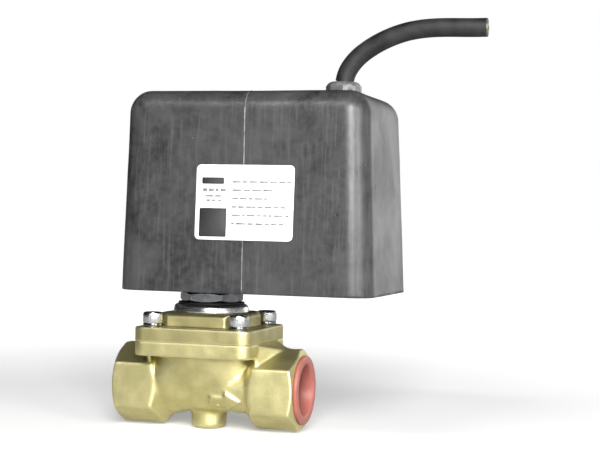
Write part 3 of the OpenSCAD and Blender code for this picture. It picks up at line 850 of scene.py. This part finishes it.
def make_cable():
    """The free cable, a curve of its real length that ends where it was cut."""
    data = bpy.data.curves.new("cable_sheath", "CURVE")
    data.dimensions = "3D"
    data.bevel_depth = CABLE_D / 2
    data.bevel_resolution = 10
    data.resolution_u = 6
    data.use_fill_caps = True
    line = data.splines.new("BEZIER")
    line.bezier_points.add(len(CABLE_ROUTE) - 1)
    for knot, (x, z) in zip(line.bezier_points, CABLE_ROUTE):
        knot.co = (x * MM, 0, z * MM)
        knot.handle_left_type = "AUTO"
        knot.handle_right_type = "AUTO"
    cable = bpy.data.objects.new("cable_sheath", data)
    SCENE.collection.objects.link(cable)
    return place(cable, "cable", "magnet_head", ["cable"])


def make_cable_end():
    """The cut end: three insulated cores with their copper, just proud of the sheath."""
    end = Vector((CABLE_ROUTE[-1][0], 0, CABLE_ROUTE[-1][1])) * MM
    to_end = Matrix.Translation(end) @ Z_TO_PIPE
    core_r, copper_r, from_middle = 1.05 * MM, 0.6 * MM, 1.35 * MM
    made = []
    for i, shade in enumerate(("core_brown", "core_blue", "core_green")):
        angle = 0.4 + 2 * math.pi * i / 3
        at = to_end @ Matrix.Translation((from_middle * math.cos(angle), from_middle * math.sin(angle), 0))
        sleeve = turned(softened([
            (copper_r, -0.6 * MM), (core_r, -0.6 * MM), (core_r, 0.10 * MM), (copper_r, 0.10 * MM)
        ], 0.05 * MM, 2, closed=True), 40, closed=True)
        strands = turned([
            (copper_r, -0.5 * MM), (copper_r, 0.11 * MM), (0.7 * copper_r, 0.16 * MM), (0.02 * MM, 0.18 * MM)
        ], 40)
        for name, shape, look in (("sleeve", sleeve, shade), ("copper", strands, "bare_copper")):
            piece_name = f"core_{name}_{i + 1}"
            piece = solid(piece_name, shape, 40, at)
            made.append(place(piece, look, "magnet_head"))
    return made


def declare_cable(end_pieces):
    """Works out the free cable's length along its route."""
    steps = zip(CABLE_ROUTE, CABLE_ROUTE[1:])
    length = sum(math.dist(a, b) for a, b in steps) * MM


# ---- materials ------------------------------------------------------------------------------


class Surface:
    """A material being made. Its patterns lie in the object's own coordinates, in metres."""

    def __init__(self, name, metallic=0.0, **sockets):
        self.material = bpy.data.materials.new(name)
        self.material.use_nodes = True
        self.tree = self.material.node_tree
        self.shader = self.tree.nodes["Principled BSDF"]
        self.shader.inputs["Metallic"].default_value = metallic
        for socket, value in sockets.items():
            self.shader.inputs[socket.replace("_", " ")].default_value = value
        self.where = self.node("ShaderNodeTexCoord").outputs["Object"]
        self.height = None
        MATERIALS[name] = self.material

    def node(self, kind):
        return self.tree.nodes.new(kind)

    def put(self, socket, value):
        """Sets an input: by a link from another node's output, or to a constant."""
        if isinstance(value, bpy.types.NodeSocket):
            self.tree.links.new(value, socket)
        elif hasattr(value, "__len__") and len(value) == 3 and len(socket.default_value) == 4:
            socket.default_value = (*value, 1)
        else:
            socket.default_value = value

    def noise(self, size, detail=3.0, stretch=(1, 1, 1), twist=0.0):
        """Soft noise with features of about that size; stretch above 1 shortens them along an axis."""
        mapping = self.node("ShaderNodeMapping")
        self.put(mapping.inputs["Vector"], self.where)
        self.put(mapping.inputs["Scale"], stretch)
        texture = self.node("ShaderNodeTexNoise")
        self.put(texture.inputs["Vector"], mapping.outputs[0])
        self.put(texture.inputs["Scale"], 1 / size)
        self.put(texture.inputs["Detail"], detail)
        self.put(texture.inputs["Distortion"], twist)
        return texture.outputs[0]

    def cells(self, size):
        """Distance to scattered points about that far apart, in units of the size."""
        texture = self.node("ShaderNodeTexVoronoi")
        self.put(texture.inputs["Vector"], self.where)
        self.put(texture.inputs["Scale"], 1 / size)
        return texture.outputs["Distance"]

    def axis(self, letter):
        """One coordinate, in metres."""
        split = self.node("ShaderNodeSeparateXYZ")
        self.put(split.inputs[0], self.where)
        return split.outputs[letter]

    def edges(self):
        """Above one half on raised edges and below it in hollows."""
        return self.node("ShaderNodeNewGeometry").outputs["Pointiness"]

    def ranged(self, value, start, end, low=0.0, high=1.0):
        """Turns start..end into low..high and clamps it."""
        node = self.node("ShaderNodeMapRange")
        self.put(node.inputs[0], value)
        for socket, number in zip(node.inputs[1:5], (start, end, low, high)):
            socket.default_value = number
        return node.outputs[0]

    def math(self, operation, a, b=0.0):
        node = self.node("ShaderNodeMath")
        node.operation = operation
        self.put(node.inputs[0], a)
        self.put(node.inputs[1], b)
        return node.outputs[0]

    def mix(self, share, first, second):
        """A colour between two others."""
        node = self.node("ShaderNodeMix")
        node.data_type = "RGBA"
        self.put(node.inputs[0], share)
        self.put(node.inputs[6], first)
        self.put(node.inputs[7], second)
        return node.outputs[2]

    def colour(self, value):
        self.put(self.shader.inputs["Base Color"], value)

    def rough(self, value):
        self.put(self.shader.inputs["Roughness"], value)

    def relief(self, value, depth):
        """Adds a bump layer that is depth metres deep where the value goes from 0 to 1."""
        bump = self.node("ShaderNodeBump")
        self.put(bump.inputs["Distance"], depth)
        self.put(bump.inputs["Height"], value)
        if self.height:
            self.put(bump.inputs["Normal"], self.height)
        self.height = bump.outputs[0]
        self.put(self.shader.inputs["Normal"], self.height)


def grey(value):
    """A colour with equal shares."""
    return (value, value, value)


def plain_surface(name, dark, light, rough, patch, grain, depth, metallic=0.0, **sockets):
    """A finish whose colour and gloss drift in soft patches over a fine grain.
    The sizes of patches and grain and the grain's depth are in millimetres."""
    s = Surface(name, metallic, **sockets)
    patches = s.noise(patch * MM, 4)
    fine = s.noise(grain * MM, 3)
    s.colour(s.mix(s.ranged(patches, 0.35, 0.65), dark, light))
    s.rough(s.ranged(patches, 0.3, 0.7, rough[0], rough[1]))
    s.relief(fine, depth * MM)
    return s


def brass_surface(name, dark, light, rough, depth):
    """Tumbled sand-cast brass: satin and grainy, with its edges lightened by wear and a painted highlight,
    and its hollows darkened by painted shade.
    """
    s = Surface(name, metallic=1.0)
    patches = s.noise(8 * MM, 5)
    grain = s.noise(0.45 * MM, 3)
    pits = s.ranged(s.cells(1.1 * MM), 0.0, 0.35)
    skin = s.mix(s.ranged(patches, 0.35, 0.68), dark, light)
    speckled = s.mix(s.ranged(grain, 0.3, 0.75, 0.25, 0.0), skin, (0.42, 0.36, 0.16))
    edges = s.edges()
    # Painted highlight: raised edges are lightened, partly as rubbed wear
    rubbed_and_highlit = s.mix(s.ranged(edges, 0.505, 0.56, 0.0, 0.8), speckled, (0.98, 0.92, 0.62))
    # Painted shade: hollows are darkened
    s.colour(s.mix(s.ranged(edges, 0.495, 0.43, 0.0, 0.75), rubbed_and_highlit, (0.33, 0.27, 0.11)))
    s.rough(s.ranged(grain, 0.3, 0.7, rough[0], rough[1]))
    s.relief(grain, depth)
    s.relief(pits, depth / 2)
    return s


def plug_surface():
    """Red moulded plastic, darkened by painted shade towards the floor of the cup."""
    s = Surface("plug_plastic", Specular_IOR_Level=0.3)
    low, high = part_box("port_plug")
    patches = s.ranged(s.noise(7 * MM, 4), 0.35, 0.65)
    rim = s.mix(patches, (0.34, 0.110, 0.086), (0.40, 0.135, 0.106))
    # Painted shade: near-black colour deep inside the cup
    floor = s.mix(patches, (0.035, 0.006, 0.004), (0.05, 0.009, 0.006))
    s.colour(s.mix(s.ranged(s.axis("X"), low.x + 2.5 * MM, high.x - 0.5 * MM), floor, rim))
    s.rough(s.ranged(patches, 0.0, 1.0, 0.34, 0.46))
    s.relief(s.noise(0.5 * MM, 3), 0.02 * MM)
    return s


def housing_surface():
    """Dark moulded plastic, mottled and dusty, with rub marks, fine scratches and a few pits."""
    s = Surface("housing")
    low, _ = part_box("housing")
    clouds = s.noise(17 * MM, 5, twist=0.6)
    mottle = s.noise(2.2 * MM, 4)
    grain = s.noise(0.35 * MM, 2)
    strokes = s.noise(1.1 * MM, 3, stretch=(1, 1, 0.06))
    dark = (0.014, 0.014, 0.015)
    light = (0.050, 0.050, 0.051)
    base = s.mix(s.ranged(clouds, 0.36, 0.62), dark, light)
    mottled = s.mix(s.ranged(mottle, 0.35, 0.7, 0.0, 0.4), base, grey(0.070))
    brushed = s.mix(s.ranged(strokes, 0.5, 0.75, 0.0, 0.35), mottled, grey(0.11))
    lean = s.math("MULTIPLY", s.math("SUBTRACT", s.axis("Z"), low.z), SEAM_LEAN)
    from_seam = s.math("ABSOLUTE", s.math("SUBTRACT", s.math("ADD", s.axis("X"), lean), SEAM_X))
    on_seam = s.ranged(from_seam, 0.17 * MM, 0.07 * MM)
    seam = s.math("MULTIPLY", on_seam, s.ranged(mottle, 0.35, 0.55, 0.15, 0.8))
    s.colour(s.mix(seam, brushed, grey(0.30)))
    s.rough(s.ranged(clouds, 0.35, 0.65, 0.40, 0.32))
    s.relief(grain, 0.03 * MM)
    s.relief(s.ranged(s.cells(9 * MM), 0.035, 0.06), 0.18 * MM)
    s.relief(strokes, 0.02 * MM)
    return s


def turned_surface(name, dark, light, rough):
    """Bright metal with fine lathe rings round the Z axis."""
    s = Surface(name, metallic=1.0)
    rings = s.noise(0.35 * MM, 2, stretch=(0.05, 0.05, 1))
    patches = s.noise(4 * MM, 3)
    s.colour(s.mix(s.ranged(patches, 0.35, 0.65), dark, light))
    s.rough(s.ranged(rings, 0.3, 0.7, rough[0], rough[1]))
    s.relief(rings, 0.015 * MM)
    return s


def winding_surface():
    """Layers of enamelled wire round the coil, striped along the turns with painted shade and painted
    highlight.
    """
    s = Surface("winding", metallic=0.6)
    turns = s.math("SINE", s.math("MULTIPLY", s.axis("Z"), 2 * math.pi / (0.45 * MM)))
    # Painted shade and highlight: each turn dark in its grooves and light on its crest
    s.colour(s.mix(s.ranged(turns, -1, 1), (0.22, 0.07, 0.02), (0.55, 0.22, 0.07)))
    s.rough(s.ranged(s.noise(3 * MM), 0.3, 0.7, 0.22, 0.35))
    s.relief(s.ranged(turns, -1, 1), 0.15 * MM)
    return s


def core_surface():
    """Three insulated cores side by side: brown, green and blue from front to back."""
    s = Surface("cores")
    across = s.axis("Y")
    front = s.mix(s.ranged(across, -1.0 * MM, -0.9 * MM), (0.10, 0.04, 0.02), (0.12, 0.35, 0.05))
    s.colour(s.mix(s.ranged(across, 0.9 * MM, 1.0 * MM), front, (0.02, 0.07, 0.35)))
    s.rough(s.ranged(s.noise(1 * MM), 0.3, 0.7, 0.35, 0.5))
    s.relief(s.noise(0.4 * MM), 0.02 * MM)
    return s


def make_materials():
    """Every finish on the valve."""
    plain = plain_surface
    brass_surface("cast_brass", (0.61, 0.56, 0.27), (0.81, 0.745, 0.395), (0.42, 0.56), 0.05 * MM)
    # Painted shade: the bonnet's brass is a darker copy of the body's cast brass
    brass_surface("shaded_bonnet_brass", (0.44, 0.4, 0.19), (0.62, 0.57, 0.29), (0.42, 0.56), 0.05 * MM)
    plain("cut_brass", (0.66, 0.58, 0.28), (0.8, 0.72, 0.38), (0.26, 0.36), 4, 0.8, 0.002, 1.0)
    turned_surface("turned_brass", (0.7, 0.55, 0.24), (0.82, 0.68, 0.34), (0.16, 0.3))
    turned_surface("satin_steel", (0.88, 0.88, 0.89), (0.95, 0.95, 0.96), (0.22, 0.32))
    turned_surface("stainless", (0.5, 0.51, 0.53), (0.66, 0.67, 0.69), (0.2, 0.34))
    plain("zinc", (0.54, 0.555, 0.57), (0.7, 0.71, 0.73), (0.16, 0.3), 2.5, 0.25, 0.012, 1.0)
    plain("zinc_dull", (0.19, 0.195, 0.205), (0.32, 0.325, 0.34), (0.14, 0.24), 3, 0.3, 0.02, 1.0)
    plain("soft_iron", (0.2, 0.2, 0.21), (0.32, 0.32, 0.33), (0.35, 0.5), 6, 0.5, 0.03, 1.0)
    plain("phosphated", (0.02, 0.02, 0.022), (0.06, 0.06, 0.062), (0.4, 0.55), 2, 0.3, 0.02, 0.5)
    plain("rubber", grey(0.01), grey(0.022), (0.5, 0.7), 3, 0.3, 0.02)
    plain("resin", (0.008, 0.008, 0.009), (0.016, 0.016, 0.018), (0.12, 0.22), 12, 2, 0.03)
    plain("bobbin", (0.6, 0.56, 0.44), (0.72, 0.69, 0.57), (0.4, 0.5), 8, 0.5, 0.02)
    plain("ceramic", (0.62, 0.58, 0.5), (0.72, 0.69, 0.62), (0.3, 0.42), 4, 0.4, 0.02)
    plain("board", (0.01, 0.075, 0.028), (0.02, 0.125, 0.048), (0.2, 0.32), 3, 0.8, 0.02)
    plain("component", (0.008, 0.008, 0.009), (0.018, 0.018, 0.02), (0.4, 0.55), 3, 0.3, 0.02)
    plain("varistor", (0.012, 0.035, 0.19), (0.025, 0.06, 0.27), (0.18, 0.3), 4, 1, 0.03)
    plain("terminal", (0.025, 0.13, 0.055), (0.04, 0.19, 0.085), (0.35, 0.5), 4, 0.4, 0.02)
    plain("wire_red", (0.42, 0.01, 0.01), (0.55, 0.02, 0.018), (0.3, 0.45), 3, 0.4, 0.02)
    plain("cable", grey(0.012), grey(0.026), (0.42, 0.56), 6, 0.5, 0.03, Specular_IOR_Level=0.3)
    plain("gland", (0.085, 0.085, 0.086), (0.15, 0.15, 0.151), (0.2, 0.3), 3, 0.4, 0.02)
    plain("label_film", grey(0.8), grey(0.86), (0.24, 0.34), 9, 1.5, 0.008)
    plain("ink_dark", grey(0.004), grey(0.01), (0.5, 0.65), 4, 0.4, 0.004)
    plain("ink_grey", grey(0.12), grey(0.22), (0.35, 0.5), 2, 0.4, 0.004)
    plain("core_brown", (0.09, 0.035, 0.015), (0.13, 0.05, 0.022), (0.35, 0.5), 1, 0.2, 0.01)
    plain("core_blue", (0.015, 0.05, 0.25), (0.025, 0.08, 0.35), (0.35, 0.5), 1, 0.2, 0.01)
    plain("core_green", (0.08, 0.25, 0.03), (0.14, 0.38, 0.05), (0.35, 0.5), 1, 0.2, 0.01)
    plain("bare_copper", (0.72, 0.32, 0.16), (0.85, 0.42, 0.22), (0.2, 0.35), 0.5, 0.12, 0.03, 1.0)
    plug_surface()
    housing_surface()
    winding_surface()
    core_surface()


NODE_FINISHES = {
    "rubber": ("tube_o_ring", "main_seal", "pilot_seal", "gland_seal"),
    "stainless": ("guide_tube", "fixed_core", "support_plate", "armature", "lift_cage"),
    "turned_brass": ("seal_carrier", "pilot_nozzle", "diaphragm_nut", "earth_tag"),
    "soft_iron": ("magnet_yoke", "pole_bush"),
    "zinc": ("earth_screw", "terminal_screws"),
    "resin": ("potting",),
    "bobbin": ("coil_bobbin",),
    "winding": ("coil_winding",),
    "ceramic": ("thermal_fuse",),
    "board": ("rectifier_board",),
    "component": ("bridge_rectifier",),
    "varistor": ("varistor",),
    "terminal": ("terminal_block",),
    "wire_red": ("coil_leads",),
    "cores": ("cable_cores",),
    "cable": ("cable_inner_end",),
    "gland": ("gland_body",),
}


def dress_cad_nodes():
    """Gives the carried-over CAD nodes their finishes."""
    for finish, nodes in NODE_FINISHES.items():
        for name in nodes:
            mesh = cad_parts[name].data
            mesh.materials.clear()
            mesh.materials.append(MATERIALS[finish])


# ---- studio ---------------------------------------------------------------------------------


FLOOR_GLOW = 0.26
FAR_FLOOR_GLOW = 0.95
GLOW_AS_LIGHT = 0.15


def make_floor():
    """A plain pale floor at the valve's foot, which pales into the background away from the valve.
    It is greyer as a source of light than to the eye, so that it doesn't flatten the shading."""
    half = 4.0
    # The cast skin's waves reach just below the CAD foot
    z = cad_low.z - 0.1 * MM
    points = [(-half, -half, z), (half, -half, z), (half, half, z), (-half, half, z)]
    floor = new_object("floor", mesh_from("floor", points, [(0, 1, 2, 3)]))
    surface = Surface("floor")
    seen = surface.tree.nodes.new("ShaderNodeLightPath").outputs["Is Camera Ray"]
    pale = surface.mix(surface.noise(0.2, 2), grey(0.80), grey(0.83))
    surface.colour(surface.mix(seen, grey(0.55), pale))
    surface.rough(surface.ranged(surface.noise(0.05, 2), 0.3, 0.7, 0.7, 0.8))
    surface.shader.inputs["Emission Color"].default_value = (1, 1, 1, 1)
    squares = [surface.math("MULTIPLY", surface.axis(letter), surface.axis(letter)) for letter in "XY"]
    distance = surface.math("SQRT", surface.math("ADD", squares[0], squares[1]))
    glow = surface.ranged(distance, 0.15, 0.55, FLOOR_GLOW, FAR_FLOOR_GLOW)
    strength = surface.math("MULTIPLY", glow, surface.ranged(seen, 0, 1, GLOW_AS_LIGHT, 1))
    surface.put(surface.shader.inputs["Emission Strength"], strength)
    floor.data.materials.append(surface.material)


def make_world():
    """Studio surroundings: white to the eye, brighter on the right than on the left as a light."""
    world = bpy.data.worlds.new("studio")
    world.use_nodes = True
    SCENE.world = world
    tree = world.node_tree
    link = tree.links.new
    seen = tree.nodes["Background"]
    seen.inputs["Color"].default_value = (1, 1, 1, 1)
    light = tree.nodes.new("ShaderNodeBackground")
    direction = tree.nodes.new("ShaderNodeTexCoord").outputs["Generated"]
    split = tree.nodes.new("ShaderNodeSeparateXYZ")
    link(direction, split.inputs[0])
    factors = []
    for letter, (start, end, low, high) in (("X", (-0.1, 0.4, 0.03, 0.60)), ("Z", (0.25, 0.9, 1.0, 0.2))):
        ranged = tree.nodes.new("ShaderNodeMapRange")
        link(split.outputs[letter], ranged.inputs[0])
        for socket, number in zip(ranged.inputs[1:5], (start, end, low, high)):
            socket.default_value = number
        factors.append(ranged.outputs[0])
    product = tree.nodes.new("ShaderNodeMath")
    product.operation = "MULTIPLY"
    link(factors[0], product.inputs[0])
    link(factors[1], product.inputs[1])
    link(product.outputs[0], light.inputs["Strength"])
    mix = tree.nodes.new("ShaderNodeMixShader")
    link(tree.nodes.new("ShaderNodeLightPath").outputs["Is Camera Ray"], mix.inputs[0])
    link(light.outputs[0], mix.inputs[1])
    link(seen.outputs[0], mix.inputs[2])
    link(mix.outputs[0], tree.nodes["World Output"].inputs["Surface"])


def area_light(name, place_at, width, height, watts):
    """A soft rectangular light that faces the middle of the valve."""
    middle = (cad_low + cad_high) / 2
    data = bpy.data.lights.new(name, "AREA")
    data.shape = "RECTANGLE"
    data.size = width
    data.size_y = height
    data.energy = watts
    lamp = bpy.data.objects.new(name, data)
    SCENE.collection.objects.link(lamp)
    lamp.location = place_at
    lamp.rotation_mode = "QUATERNION"
    lamp.rotation_quaternion = (middle - lamp.location).to_track_quat("-Z", "Y")


def make_lights():
    area_light("key", (0.40, -1.00, 0.48), 0.45, 0.5, 20)
    area_light("right", (0.90, -0.60, 0.35), 0.4, 0.5, 6)
    area_light("front_high", (-0.22, -0.75, 0.85), 0.3, 0.1, 2.2)
    area_light("back_right", (0.42, 1.0, 0.30), 0.5, 0.7, 1.5)


# ---- making the valve -----------------------------------------------------------------------

SCENE.view_settings.view_transform = "Standard"
make_camera()
make_materials()
cable_piece = make_cable()
declare_cable(make_cable_end())
dress_cad_nodes()
make_body()
make_inlet_thread()
make_bonnet()
make_diaphragm()
make_return_spring()
make_screws()
make_spring_washers()
make_collar()
make_neck_gasket()
make_lock_nut()
make_toothed_washer()
make_port_plug()
make_housing()
make_label()
make_label_print()
make_gland_nut()
make_gland_washer()
make_floor()
make_world()
make_lights()
